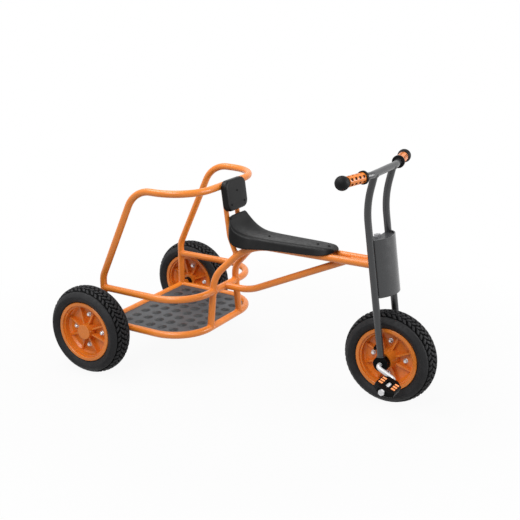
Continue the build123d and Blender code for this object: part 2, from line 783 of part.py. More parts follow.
pad_ahead = Vector(cos(radians(pad_lean)), 0, sin(radians(pad_lean)))
pad_seat = (tube_r + seat_gap) / cos(radians(pad_lean))
pad_back = Vector(hoop_front_x + pad_seat + (hoop_height - pad_middle_z) * lean_slope, 0, pad_middle_z)
with BuildPart() as backrest_pad:
    with BuildSketch(Plane(origin=pad_back, x_dir=(0, 1, 0), z_dir=pad_ahead)):
        RectangleRounded(pad_width, pad_height, pad_corner)
    extrude(amount=pad_thickness)
    fillet(backrest_pad.faces().sort_by(Axis.X)[-1].edges(), pad_edge)
keep(backrest_pad.part, "backrest_pad")
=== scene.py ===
"""Taxi tricycle: finishes, tyre treads, saddle, backrest, tread plate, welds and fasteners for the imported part."""

import json
import math

import bmesh
import bpy
from bpy.props import FloatProperty, FloatVectorProperty, IntProperty, PointerProperty
from mathutils import Matrix, Vector


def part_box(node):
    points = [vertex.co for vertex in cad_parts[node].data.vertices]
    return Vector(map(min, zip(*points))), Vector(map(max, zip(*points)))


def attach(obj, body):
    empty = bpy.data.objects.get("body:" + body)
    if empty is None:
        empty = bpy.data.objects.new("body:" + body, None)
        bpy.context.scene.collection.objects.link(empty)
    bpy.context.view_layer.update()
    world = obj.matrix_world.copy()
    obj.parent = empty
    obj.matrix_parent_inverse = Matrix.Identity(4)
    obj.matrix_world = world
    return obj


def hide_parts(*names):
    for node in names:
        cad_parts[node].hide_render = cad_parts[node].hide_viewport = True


bl_info = {
    "name": "Taxi Tricycle",
    "version": (1, 0, 0),
    "blender": (4, 5, 0),
    "location": "3D View > Sidebar > Tricycle",
    "description": "Dresses a kindergarten taxi tricycle and sets up its studio",
    "category": "Object",
}

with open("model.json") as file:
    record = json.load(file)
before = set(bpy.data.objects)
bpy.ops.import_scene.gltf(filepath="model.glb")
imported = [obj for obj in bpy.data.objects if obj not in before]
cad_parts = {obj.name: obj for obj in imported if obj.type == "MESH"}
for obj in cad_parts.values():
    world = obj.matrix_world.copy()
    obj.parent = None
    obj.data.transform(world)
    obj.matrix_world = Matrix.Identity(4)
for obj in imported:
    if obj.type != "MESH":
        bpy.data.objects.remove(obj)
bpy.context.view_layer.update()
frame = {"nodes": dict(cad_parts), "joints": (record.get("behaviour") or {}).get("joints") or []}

MM = 0.001
SIDES = (("right", -1), ("left", 1))
AHEAD, LEFT, UP = (1, 0, 0), (0, 1, 0), (0, 0, 1)

# Wheels: name, body, tyre node, rim node and the side on which the valve stands
WHEELS = (
    ("front", "front_wheel", "front_tyre", "front_rim", -1),
    ("rear_right", "rear_wheel_right", "rear_tyre_right", "rear_rim_right", 1),
    ("rear_left", "rear_wheel_left", "rear_tyre_left", "rear_rim_left", -1),
)
FRAME_TUBES = (
    "axle_tube", "platform_rail", "upper_rail", "guard_hoop", "rail_posts", "main_tube_right", "main_tube_left",
    "down_tube", "head_gusset", "head_tube", "saddle_brackets", "backrest_posts",
)


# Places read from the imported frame
def middle(node):
    """Centre of a node's box."""
    low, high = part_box(node)
    return (low + high) / 2


def joint_place(name):
    """Point and axis of a joint at rest."""
    joint = next(j for j in frame["joints"] if j["name"] == name)
    return Vector(joint["pos_m"]), Vector(joint["axis"]).normalized()


AXLE = middle("axle_tube")
TUBE_R = (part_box("axle_tube")[1].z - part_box("axle_tube")[0].z) / 2
RAIL_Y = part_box("guard_hoop")[1].y - TUBE_R
RAIL_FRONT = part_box("platform_rail")[1].x - TUBE_R
UPPER_Z = middle("upper_rail").z
HOOP_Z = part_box("guard_hoop")[1].z - TUBE_R
HOOP_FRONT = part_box("guard_hoop")[1].x - TUBE_R
MAIN_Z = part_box("main_tube_right")[1].z - TUBE_R
FORK_R = (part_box("fork_tube_right")[1].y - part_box("fork_tube_right")[0].y) / 2
FORK_Y = middle("fork_tube_left").y
BAR_R = (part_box("handlebar")[1].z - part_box("handlebar")[0].z) / 2
BAR_Z = middle("handlebar").z
STEER_UP = joint_place("steering_turn")[1]
FRONT_AXLE, ACROSS = joint_place("front_wheel_roll")
PLATE_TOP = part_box("platform_plate")[1].z


class TrikeColours(bpy.types.PropertyGroup):
    """Colours of the finishes, as linear values."""

    coat: FloatVectorProperty(
        name="Frame coat", description="Powder coat of the frame tubes",
        subtype="COLOR", size=3, min=0.0, max=1.0, default=(0.77, 0.22, 0.024),
    )
    fork: FloatVectorProperty(
        name="Fork coat", description="Powder coat of the fork, bar and shield",
        subtype="COLOR", size=3, min=0.0, max=1.0, default=(0.031, 0.032, 0.034),
    )
    plate: FloatVectorProperty(
        name="Tread plate", description="Finish of the standing platform",
        subtype="COLOR", size=3, min=0.0, max=1.0, default=(0.058, 0.061, 0.066),
    )
    rim: FloatVectorProperty(
        name="Rims", description="Moulded colour of the rims and grip sleeves",
        subtype="COLOR", size=3, min=0.0, max=1.0, default=(0.75, 0.205, 0.02),
    )
    seat: FloatVectorProperty(
        name="Saddle", description="Moulded colour of the saddle and the backrest",
        subtype="COLOR", size=3, min=0.0, max=1.0, default=(0.0045, 0.0045, 0.0048),
    )
    rubber: FloatVectorProperty(
        name="Tyres", description="Rubber of the tyres",
        subtype="COLOR", size=3, min=0.0, max=1.0, default=(0.013, 0.013, 0.014),
    )


class TrikeSizes(bpy.types.PropertyGroup):
    """Sizes of the details that dress the tricycle."""

    tread_depth: FloatProperty(
        name="Tread depth", description="Height of the tread blocks over the carcass",
        unit="LENGTH", default=4.2 * MM, min=0.5 * MM, max=6 * MM,
    )
    tread_count: IntProperty(
        name="Tread blocks", description="Blocks in each row round a tyre",
        default=52, min=12, max=90,
    )
    weld_radius: FloatProperty(
        name="Weld bead", description="Half thickness of the weld beads",
        unit="LENGTH", default=1.9 * MM, min=0.5 * MM, max=4 * MM,
    )
    stud_radius: FloatProperty(
        name="Stud radius", description="Radius of a raised stud on the platform",
        unit="LENGTH", default=15.5 * MM, min=4 * MM, max=20 * MM,
    )
    stud_height: FloatProperty(
        name="Stud height", description="Height of a stud over the platform",
        unit="LENGTH", default=4 * MM, min=0.5 * MM, max=5 * MM,
    )
    stud_pitch: FloatVectorProperty(
        name="Stud pitch", description="Distance of the studs along and across the platform",
        subtype="XYZ", unit="LENGTH", size=2, default=(41.2 * MM, 42.5 * MM),
    )
    saddle_wall: FloatProperty(
        name="Saddle wall", description="Thickness of the moulded saddle shell",
        unit="LENGTH", default=5 * MM, min=2 * MM, max=8 * MM,
    )
    bolt_circle: FloatProperty(
        name="Bolt circle", description="Radius at which the rim bolts stand",
        unit="LENGTH", default=47 * MM, min=30 * MM, max=60 * MM,
    )


# Finishes
def new_finish(name, shine=0.5):
    """Empty node material with its main shader, given a shine, and its object coordinates."""
    material = bpy.data.materials.new(name)
    material.use_nodes = True
    tree = material.node_tree
    shader = tree.nodes["Principled BSDF"]
    shader.inputs["Specular IOR Level"].default_value = shine
    place = tree.nodes.new("ShaderNodeTexCoord")
    return material, tree, shader, place.outputs["Object"]


def noise(tree, place, scale, detail=2.0, roughness=0.5):
    """Noise texture read at object coordinates."""
    node = tree.nodes.new("ShaderNodeTexNoise")
    node.inputs["Scale"].default_value = scale
    node.inputs["Detail"].default_value = detail
    node.inputs["Roughness"].default_value = roughness
    tree.links.new(place, node.inputs["Vector"])
    return node.outputs["Fac"]


def spread(tree, value, low, high, start=0.3, end=0.7):
    """Maps a value between start and end to a range."""
    node = tree.nodes.new("ShaderNodeMapRange")
    node.inputs["From Min"].default_value = start
    node.inputs["From Max"].default_value = end
    node.inputs["To Min"].default_value = low
    node.inputs["To Max"].default_value = high
    tree.links.new(value, node.inputs["Value"])
    return node.outputs["Result"]


def shade(tree, colour, value, dark, light):
    """Colour that a noise value makes a little darker or lighter."""
    node = tree.nodes.new("ShaderNodeMix")
    node.data_type = "RGBA"
    node.inputs["A"].default_value = (*[c * dark for c in colour], 1.0)
    node.inputs["B"].default_value = (*[min(1.0, c * light) for c in colour], 1.0)
    tree.links.new(value, node.inputs["Factor"])
    return node.outputs["Result"]


def grain(tree, shader, heights):
    """Chains bump layers, given as (height value, strength, depth in metres), into the shader's normal."""
    previous = None
    for value, strength, depth in heights:
        node = tree.nodes.new("ShaderNodeBump")
        node.inputs["Strength"].default_value = strength
        node.inputs["Distance"].default_value = depth
        tree.links.new(value, node.inputs["Height"])
        if previous is not None:
            tree.links.new(previous, node.inputs["Normal"])
        previous = node.outputs["Normal"]
    tree.links.new(previous, shader.inputs["Normal"])


def tint(tree, shader, colour, value, dark, light):
    """Base colour that a noise value drifts between a darker and a lighter tone."""
    drift = spread(tree, value, 0.0, 1.0)
    tree.links.new(shade(tree, colour, drift, dark, light), shader.inputs["Base Color"])


def dull(tree, shader, value, low, high):
    """Roughness that a noise value moves between two limits."""
    tree.links.new(spread(tree, value, low, high), shader.inputs["Roughness"])


def powder_coat(name, colour, rough, peel, shine=0.4):
    """Baked powder coat: faint orange peel, slow colour drift and uneven gloss."""
    material, tree, shader, place = new_finish(name, shine)
    tint(tree, shader, colour, noise(tree, place, scale=9.0), dark=0.94, light=1.05)
    dull(tree, shader, noise(tree, place, scale=60.0), low=rough - 0.05, high=rough + 0.07)
    shader.inputs["Coat Weight"].default_value = 0.2
    shader.inputs["Coat Roughness"].default_value = 0.2
    grain(tree, shader, [
        (noise(tree, place, scale=420.0), peel, 0.4 * MM),
        (noise(tree, place, scale=2600.0, detail=1.0), peel * 0.4, 0.15 * MM),
    ])
    return material


def moulding(name, colour, rough, pebble, depth, shine):
    """Moulded plastic with the pebble grain of its tool."""
    material, tree, shader, place = new_finish(name, shine)
    tint(tree, shader, colour, noise(tree, place, scale=14.0, detail=3.0), dark=0.9, light=1.1)
    cells = tree.nodes.new("ShaderNodeTexVoronoi")
    cells.feature = "SMOOTH_F1"
    cells.inputs["Scale"].default_value = pebble
    tree.links.new(place, cells.inputs["Vector"])
    dull(tree, shader, noise(tree, place, scale=90.0), low=rough - 0.06, high=rough + 0.08)
    grain(tree, shader, [
        (cells.outputs["Distance"], 0.35, depth),
        (noise(tree, place, scale=pebble * 2.2), 0.2, depth * 0.5),
    ])
    return material


def tyre_rubber(name, colour, shine):
    """Vulcanised rubber: matt, with mould bloom and scuffs."""
    material, tree, shader, place = new_finish(name, shine)
    bloom = noise(tree, place, scale=22.0, detail=5.0, roughness=0.65)
    tint(tree, shader, colour, bloom, dark=0.8, light=1.5)
    dull(tree, shader, noise(tree, place, scale=120.0, detail=3.0), low=0.55, high=0.74)
    grain(tree, shader, [
        (noise(tree, place, scale=900.0, detail=3.0), 0.25, 0.3 * MM),
        (noise(tree, place, scale=160.0), 0.12, 0.6 * MM),
    ])
    return material


def bright_steel(name, colour, rough, metal):
    """Zinc plated or polished steel with fine turning marks along the part."""
    material, tree, shader, place = new_finish(name)
    shader.inputs["Metallic"].default_value = metal
    stretch = tree.nodes.new("ShaderNodeMapping")
    stretch.inputs["Scale"].default_value = (1.0, 6.0, 1.0)
    tree.links.new(place, stretch.inputs["Vector"])
    streak = noise(tree, stretch.outputs["Vector"], scale=180.0, detail=3.0)
    tint(tree, shader, colour, streak, dark=0.94, light=1.05)
    dull(tree, shader, streak, low=rough - 0.06, high=rough + 0.08)
    grain(tree, shader, [(streak, 0.02, 0.1 * MM)])
    return material


def make_finishes(colours):
    """Every finish of the tricycle: one for each of the record's slots, then those of single pieces."""
    # Painted shade: the tyre rubber at a quarter of its colour, for the floor between the tread blocks
    groove_painted_shade = [c * 0.25 for c in colours.rubber]
    # Painted shade: the plate's coat at about a third of its colour, for the raised studs
    stud_painted_shade_grey = [c * 0.36 for c in colours.plate]
    deep_black = [c * 0.3 for c in colours.seat]
    # Painted light: the rim orange made paler, as the pedal bars look where lit from above
    painted_lit_orange = [min(1.0, c * 1.1 + 0.1) for c in colours.rim]
    steel, dark_steel, zinc = (0.62, 0.62, 0.63), (0.3, 0.3, 0.31), (0.7, 0.7, 0.71)
    return {
        "orange_powder_coat": powder_coat("frame_coat", colours.coat, rough=0.31, peel=0.02),
        "grey_powder_coat": powder_coat("fork_coat", colours.fork, rough=0.25, peel=0.02, shine=0.5),
        "platform_coat": powder_coat("platform_coat", colours.plate, rough=0.55, peel=0.4, shine=0.25),
        "black_moulding": moulding("black_moulding", colours.seat, rough=0.38, pebble=900, depth=0.04 * MM, shine=0.16),
        "grip_rubber": moulding("grip_rubber", colours.seat, rough=0.55, pebble=1500, depth=0.3 * MM, shine=0.15),
        "orange_moulding": moulding("rim_moulding", colours.rim, rough=0.28, pebble=1400, depth=0.1 * MM, shine=0.45),
        "tyre_rubber": tyre_rubber("tyre_rubber", colours.rubber, shine=0.22),
        "bright_steel": bright_steel("bright_steel", steel, rough=0.3, metal=1.0),
        "tyre_groove_painted_shade": tyre_rubber("tyre_groove_painted_shade", groove_painted_shade, shine=0.03),
        "platform_stud_painted_shade": powder_coat("platform_stud_painted_shade", stud_painted_shade_grey, rough=0.5, peel=0.4, shine=0.2),
        "crown_coat": powder_coat("crown_coat", colours.fork, rough=0.5, peel=0.1, shine=0.2),
        "pin_steel": bright_steel("pin_steel", dark_steel, rough=0.35, metal=1.0),
        "crank_zinc": bright_steel("crank_zinc", zinc, rough=0.4, metal=0.35),
        "pedal_black": moulding("pedal_moulding", deep_black, rough=0.5, pebble=1200, depth=0.3 * MM, shine=0.07),
        "pedal_orange_painted_light": moulding("pedal_bar_moulding", painted_lit_orange, rough=0.4, pebble=1400, depth=0.1 * MM, shine=0.4),
    }


FINISHES = {}


def finish(slot):
    """Finish of a slot, made on first use."""
    if not FINISHES:
        FINISHES.update(make_finishes(bpy.context.scene.trike_colours))
    return FINISHES[slot]


def dress_nodes(names, slot, edge=0.0, sharpest=35.0):
    """Gives CAD nodes a finish and, where an edge radius is given, softens edges over an angle in degrees."""
    for name in names:
        node = frame["nodes"][name]
        node.data.materials.clear()
        node.data.materials.append(finish(slot))
        if edge:
            soft = node.modifiers.new("soft_edge", "BEVEL")
            soft.width = edge
            soft.segments = 2
            soft.limit_method = "ANGLE"
            soft.angle_limit = math.radians(sharpest)


# Reach of a turned polygon's rounded corners over that of its flats
CORNER_REACH = 1.12


# Mesh making
class Shape:
    """Vertices and faces of one piece, gathered from rings of points."""

    def __init__(self):
        self.vertices = []
        self.faces = []

    def rings(self, rings, loop=False, cyclic=True, cap_start=False, cap_end=False):
        """Quads between neighbouring rings, each with the same number of points."""
        start = len(self.vertices)
        count = len(rings[0])
        total = len(rings)
        for ring in rings:
            self.vertices.extend(Vector(p) for p in ring)
        for row in range(total if loop else total - 1):
            first = start + row * count
            second = start + (row + 1) % total * count
            for i in range(count if cyclic else count - 1):
                j = (i + 1) % count
                self.faces.append((first + i, first + j, second + j, second + i))
        if cap_start:
            self.faces.append(tuple(range(start, start + count)))
        if cap_end:
            self.faces.append(tuple(range(start + (total - 1) * count, start + total * count)))

    def turned(self, profile, place, sides, corners=0):
        """Profile of (height, radius) turned about the z axis of a placing matrix; corners makes it a polygon."""
        rings = []
        for height, radius in profile:
            ring = []
            for i in range(sides):
                angle = 2 * math.pi * i / sides
                reach = radius
                if corners:
                    sector = math.pi / corners
                    off = (angle + sector) % (2 * sector) - sector
                    reach = min(radius / math.cos(off), radius * CORNER_REACH)
                ring.append(place @ Vector((reach * math.cos(angle), reach * math.sin(angle), height)))
            rings.append(ring)
        self.rings(rings, cap_start=True, cap_end=True)


def cut_corners(u, v):
    """Corners of a rectangle of half size 1 whose corners are cut back to u along it and v across it."""
    return ((1, -v), (1, v), (u, 1), (-u, 1), (-1, v), (-1, -v), (-u, -1), (u, -1))


def facing(point, direction):
    """Matrix whose z axis leaves a point along a direction."""
    return Matrix.Translation(point) @ Vector(direction).to_track_quat("Z", "Y").to_matrix().to_4x4()


def piece(name, shape, body, slot, replaces=(), sharp=38.0, look=None):
    """Turns a shape into an object that rides on a body and takes its slot's finish, or its own look."""
    mesh = bpy.data.meshes.new(name)
    mesh.from_pydata([tuple(v) for v in shape.vertices], [], shape.faces)
    work = bmesh.new()
    work.from_mesh(mesh)
    bmesh.ops.recalc_face_normals(work, faces=work.faces)
    work.to_mesh(mesh)
    work.free()
    mesh.shade_smooth()
    mesh.set_sharp_from_angle(angle=math.radians(sharp))
    mesh.materials.append(finish(look or slot))
    obj = bpy.data.objects.new(name, mesh)
    bpy.context.scene.collection.objects.link(obj)
    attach(obj, body)
    if replaces:
        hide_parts(*replaces)
    return obj


def smooth_step(value, low, high):
    """0 below low, 1 above high, with a smooth ramp between."""
    t = min(1.0, max(0.0, (value - low) / (high - low)))
    return t * t * (3 - 2 * t)


def through(table, where):
    """Smooth curve through the columns of a table, whose first column is the place along it."""
    last = len(table) - 1
    row = 0
    while row < last - 1 and where > table[row + 1][0]:
        row += 1
    before, start, end, after = (table[min(last, max(0, row + k))] for k in (-1, 0, 1, 2))
    gap = end[0] - start[0]
    t = min(1.0, max(0.0, (where - start[0]) / gap))
    values = []
    for a, b, c, d in zip(before[1:], start[1:], end[1:], after[1:]):
        slope_in = (c - a) / (end[0] - before[0]) * gap
        slope_out = (d - b) / (after[0] - start[0]) * gap
        values.append(
            (2 * t**3 - 3 * t**2 + 1) * b
            + (t**3 - 2 * t**2 + t) * slope_in
            + (-2 * t**3 + 3 * t**2) * c
            + (t**3 - t**2) * slope_out
        )
    return values


# Length of a ripple of the weld beads, and how much it swells the bead
RIPPLE_PITCH = 2.6 * MM
RIPPLE_SWELL = 0.14


# Welds: a rippled bead where a branch tube meets the wall of another
def weld(shape, foot, direction, branch_r, main_point, main_axis, main_r, bead, steps=88):
    """Adds a bead along the line where a branch, leaving foot along direction, meets a main tube."""
    direction = Vector(direction).normalized()
    main_axis = Vector(main_axis).normalized()
    side = direction.orthogonal().normalized()
    other = direction.cross(side)
    climb = direction - direction.dot(main_axis) * main_axis
    a = climb.length_squared
    line = []
    for i in range(steps):
        angle = 2 * math.pi * i / steps
        start = Vector(foot) + branch_r * (math.cos(angle) * side + math.sin(angle) * other)
        away = start - Vector(main_point)
        flat = away - away.dot(main_axis) * main_axis
        b = 2 * flat.dot(climb)
        c = flat.length_squared - main_r**2
        inside = max(b * b - 4 * a * c, 0.0)
        line.append(start + direction * ((-b + math.sqrt(inside)) / (2 * a)))
    bead_along(shape, line, bead)


def bead_along(shape, line, bead, sides=8):
    """Adds a bead of welding ripples along a closed line of points."""
    count = len(line)
    length = sum((line[i] - line[i - 1]).length for i in range(count))
    ripples = round(length / RIPPLE_PITCH)
    turns = [2 * math.pi * k / sides for k in range(sides)]
    rings = []
    for i, point in enumerate(line):
        along = (line[(i + 1) % count] - line[i - 1]).normalized()
        side = along.orthogonal().normalized()
        other = along.cross(side)
        swell = bead * (1 + RIPPLE_SWELL * math.cos(2 * math.pi * ripples * i / count))
        rings.append([point + swell * (math.cos(turn) * side + math.sin(turn) * other) for turn in turns])
    align_rings(rings)
    shape.rings(rings, loop=True)


def align_rings(rings):
    """Turns each ring's numbering so that its points follow those of the ring before."""
    for index in range(1, len(rings)):
        ring = rings[index]
        last = rings[index - 1]
        shift = min(range(len(ring)), key=lambda step: ring_distance(ring, last, step))
        rings[index] = ring[shift:] + ring[:shift]


def ring_distance(ring, last, shift):
    """How far a ring's points lie from those of the ring before, with its numbering shifted."""
    count = len(ring)
    return sum((ring[(k + shift) % count] - last[k]).length for k in range(0, count, 2))


# Domed screw head, columns: height over its seat in mm and share of the head's radius
SCREW_PROFILE = ((-0.6, 1.0), (0.3, 1.0), (1.2, 0.86), (1.7, 0.55), (1.7, 0.42), (0.3, 0.4))


# Fasteners
def hex_bolt(shape, point, direction, flats, height, washer):
    """Adds a washer of a given radius and on it a chamfered hexagon head, standing on a face."""
    place = facing(point, direction)
    half = flats / 2
    rim, seat = 0.9 * MM, 1.2 * MM
    top = seat + height
    shape.turned([(0, washer), (rim, washer), (seat, washer - 0.5 * MM), (seat, half * 0.8)], place, sides=24)
    shape.turned(
        [(seat - 0.1 * MM, half), (top - 0.8 * MM, half), (top, half * 0.86), (top + 0.1 * MM, half * 0.4)],
        place, sides=36, corners=6,
    )


def domed_screw(shape, point, direction, radius):
    """Adds a low domed screw head with a recessed socket."""
    profile = [(height * MM, radius * share) for height, share in SCREW_PROFILE]
    shape.turned(profile, facing(point, direction), sides=24)


class TRIKE_OT_studio(bpy.types.Operator):
    """Plain pale floor, soft lamps and the camera of the catalogue view"""

    bl_idname = "trike.studio"
    bl_label = "Studio"

    camera_place = (1.289, -2.1645, 1.141)
    camera_aim = (0.0032, 0.0, 0.33405)
    lens = 64.48
    sensor = 36.0
    # Soft boxes: name, place, aim, size and power
    lamps = (
        ("key_box", (0.3, -2.0, 2.7), (0.0, 0.0, 0.3), 1.4, 50.0),
        ("top_box", (-0.9, -0.3, 2.4), (0.0, 0.0, 0.3), 1.5, 40.0),
        ("front_box", (2.4, 1.1, 1.2), (0.3, 0.0, 0.35), 1.3, 48.0),
    )
    room_light = 0.25
    white = (1.0, 1.0, 1.0, 1.0)
    floor_half = 40.0
    paper = (0.5, 0.5, 0.5)
    # Share of plain white in the floor under the tricycle and away from it, and where the change begins and ends
    near_white, far_white = 0.94, 1.0
    fade_start, fade_end = 0.6, 1.2

    def execute(self, context):
        scene = context.scene
        scene.view_settings.view_transform = "Standard"
        self.make_camera(scene)
        self.make_world(scene)
        self.make_floor(scene)
        for name, place, aim, size, power in self.lamps:
            self.make_lamp(scene, name, place, aim, size, power)
        return {"FINISHED"}

    def make_camera(self, scene):
        """Adds the camera of the catalogue view."""
        data = bpy.data.cameras.new("camera")
        data.lens = self.lens
        data.sensor_width = self.sensor
        camera = bpy.data.objects.new("camera", data)
        self.set_up(scene, camera, self.camera_place, self.camera_aim)
        scene.camera = camera

    def make_lamp(self, scene, name, place, aim, size, power):
        """Adds a square soft box."""
        data = bpy.data.lights.new(name, "AREA")
        data.size = size
        data.energy = power
        self.set_up(scene, bpy.data.objects.new(name, data), place, aim)

    def set_up(self, scene, obj, place, aim):
        """Puts a camera or a lamp in its place and turns it to its aim."""
        obj.location = place
        obj.rotation_euler = (Vector(aim) - obj.location).to_track_quat("-Z", "Y").to_euler()
        scene.collection.objects.link(obj)

    def seen_rays(self, tree):
        """1 for rays from the camera, a mirror or glass, 0 for light that falls on the object."""
        path = tree.nodes.new("ShaderNodeLightPath")
        total = path.outputs["Is Camera Ray"]
        for ray in ("Is Glossy Ray", "Is Transmission Ray"):
            add = tree.nodes.new("ShaderNodeMath")
            add.operation = "MAXIMUM"
            tree.links.new(total, add.inputs[0])
            tree.links.new(path.outputs[ray], add.inputs[1])
            total = add.outputs["Value"]
        return total

    def blend(self, tree, share, first, second, output):
        """Mixes two shaders by a share of the second one into the surface of an output node."""
        mix = tree.nodes.new("ShaderNodeMixShader")
        tree.links.new(share, mix.inputs["Fac"])
        tree.links.new(first, mix.inputs[1])
        tree.links.new(second, mix.inputs[2])
        tree.links.new(mix.outputs["Shader"], tree.nodes[output].inputs["Surface"])

    def make_world(self, scene):
        """Adds even room light in front of a white backdrop."""
        world = bpy.data.worlds.new("studio")
        scene.world = world
        world.use_nodes = True
        tree = world.node_tree
        light = tree.nodes["Background"]
        light.inputs["Color"].default_value = self.white
        light.inputs["Strength"].default_value = self.room_light
        seen = tree.nodes.new("ShaderNodeBackground")
        seen.inputs["Color"].default_value = self.white
        shaders = light.outputs["Background"], seen.outputs["Background"]
        self.blend(tree, self.seen_rays(tree), *shaders, "World Output")

    def make_floor(self, scene):
        """Adds the paper floor, which keeps the shadow under the tricycle and turns white away from it."""
        half = self.floor_half
        corners = [(-half, -half, 0), (half, -half, 0), (half, half, 0), (-half, half, 0)]
        mesh = bpy.data.meshes.new("floor")
        mesh.from_pydata(corners, [], [(0, 1, 2, 3)])
        floor = bpy.data.objects.new("floor", mesh)
        scene.collection.objects.link(floor)
        material, tree, shader, place = new_finish("studio_floor", shine=0.0)
        paper = shade(tree, self.paper, noise(tree, place, scale=30.0), dark=0.985, light=1.015)
        tree.links.new(paper, shader.inputs["Base Color"])
        shader.inputs["Roughness"].default_value = 0.9
        glow = tree.nodes.new("ShaderNodeEmission")
        distance = tree.nodes.new("ShaderNodeVectorMath")
        distance.operation = "LENGTH"
        tree.links.new(place, distance.inputs[0])
        fade = spread(
            tree, distance.outputs["Value"], self.near_white, self.far_white, self.fade_start, self.fade_end,
        )
        amount = tree.nodes.new("ShaderNodeMath")
        amount.operation = "MULTIPLY"
        tree.links.new(fade, amount.inputs[0])
        tree.links.new(self.seen_rays(tree), amount.inputs[1])
        shaders = shader.outputs["BSDF"], glow.outputs["Emission"]
        self.blend(tree, amount.outputs["Value"], *shaders, "Material Output")
        mesh.materials.append(material)


class TRIKE_OT_frame(bpy.types.Operator):
    """Orange tube frame with its weld beads"""

    bl_idname = "trike.frame"
    bl_label = "Frame"

    # Centre line of the left backrest post and run of the main tube that carries its foot
    post_r = 7 * MM
    post_foot = (-53.1 * MM, 35.5 * MM, 347.2 * MM)
    post_knee = (-80.6 * MM, 28.0 * MM, 398.0 * MM)
    post_top = (-101.0 * MM, 28.0 * MM, 543.0 * MM)
    main_rise = (0.68, -0.2, 0.7)
    # Thickness of the posts' beads as a share of that of the others
    post_bead = 0.8

    def execute(self, context):
        bead = context.scene.trike_sizes.weld_radius
        dress_nodes(FRAME_TUBES, "orange_powder_coat")
        dress_nodes(("stub_axles",), "bright_steel")
        dress_nodes(("head_cups", "axle_bushes"), "black_moulding")
        shape = Shape()
        foot_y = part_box("rail_posts")[1].y - TUBE_R
        top_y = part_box("main_tube_left")[1].y - TUBE_R
        for _, sign in SIDES:
            corner = Vector((AXLE.x, sign * RAIL_Y, AXLE.z))
            rail_end = Vector((AXLE.x, sign * RAIL_Y, UPPER_Z))
            foot = Vector((RAIL_FRONT, sign * foot_y, AXLE.z))
            head = Vector((RAIL_FRONT, sign * top_y, UPPER_Z))
            climb = head - foot
            for joint, direction, main_axis in (
                (corner, UP, LEFT),
                (corner, AHEAD, LEFT),
                (rail_end, AHEAD, UP),
                (foot, climb, LEFT),
                (head, -climb, LEFT),
                (head, climb, LEFT),
            ):
                weld(shape, joint, direction, TUBE_R, joint, main_axis, TUBE_R, bead)
            self.post_welds(shape, sign, bead * self.post_bead)
        neck = Vector((RAIL_FRONT, 0, UPPER_Z))
        weld(shape, neck, AHEAD, TUBE_R, neck, LEFT, TUBE_R, bead)
        piece("frame_welds", shape, "frame", "orange_powder_coat")
        return {"FINISHED"}

    def post_welds(self, shape, sign, bead):
        """Adds the beads at a backrest post's foot on the main tube and at its top under the hoop."""
        foot, rise, knee, top = (
            Vector((x, sign * y, z)) for x, y, z in (self.post_foot, self.main_rise, self.post_knee, self.post_top)
        )
        weld(shape, foot, knee - foot, self.post_r, foot, rise, TUBE_R, bead)
        hoop = Vector((HOOP_FRONT, top.y, HOOP_Z))
        weld(shape, top, knee - top, self.post_r, hoop, LEFT, TUBE_R, bead)


class TRIKE_OT_platform(bpy.types.Operator):
    """Standing platform with its raised studs"""

    bl_idname = "trike.platform"
    bl_label = "Platform"

    # Radius of the plate's front corners, least room round a stud and first column's distance from the axle
    corner = 100 * MM
    margin = 3 * MM
    first_column = 48 * MM
    # A stud's dome: shares of its radius at its rings of points, points in a ring, power of its slope and sunk foot
    stud_rings = (1.0, 0.93, 0.84, 0.74, 0.62, 0.48, 0.32, 0.15)
    stud_sides = 28
    stud_slope = 1.4
    stud_sink = 0.05 * MM

    def execute(self, context):
        sizes = context.scene.trike_sizes
        dress_nodes(("platform_plate",), "platform_coat")
        low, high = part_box("platform_plate")
        pitch_x, pitch_y = sizes.stud_pitch
        shape = Shape()
        columns = int((high.x - low.x) / pitch_x) + 1
        rows = int((high.y - low.y) / pitch_y) + 1
        for column in range(columns + 1):
            for row in range(-rows, rows + 1):
                along = AXLE.x + self.first_column + column * pitch_x
                spot = Vector((along, row * pitch_y + pitch_y / 2, PLATE_TOP))
                if self.inside(spot, low, high, sizes.stud_radius + self.margin):
                    self.stud(shape, spot, sizes.stud_radius, sizes.stud_height)
        # The studs take a darker copy of the plate's coat: painted shade on the studs
        piece("platform_studs", shape, "frame", "platform_coat", sharp=60.0, look="platform_stud_painted_shade")
        return {"FINISHED"}

    def inside(self, spot, low, high, room):
        """Whether a stud lies wholly on the plate, within its edges and its rounded front corners."""
        if not (low.x + room < spot.x < high.x - room and low.y + room < spot.y < high.y - room):
            return False
        past_x = spot.x - (high.x - self.corner)
        past_y = abs(spot.y) - (high.y - self.corner)
        return past_x <= 0 or past_y <= 0 or math.hypot(past_x, past_y) < self.corner - room

    def stud(self, shape, spot, radius, height):
        """Adds one pressed stud: a flat dome on a soft foot."""
        turns = [2 * math.pi * i / self.stud_sides for i in range(self.stud_sides)]
        rings = []
        for share in self.stud_rings:
            rise = height * (0.5 + 0.5 * math.cos(math.pi * share**self.stud_slope)) - self.stud_sink
            reach = radius * share
            rings.append([spot + Vector((reach * math.cos(a), reach * math.sin(a), rise)) for a in turns])
        shape.rings(rings, cap_end=True)


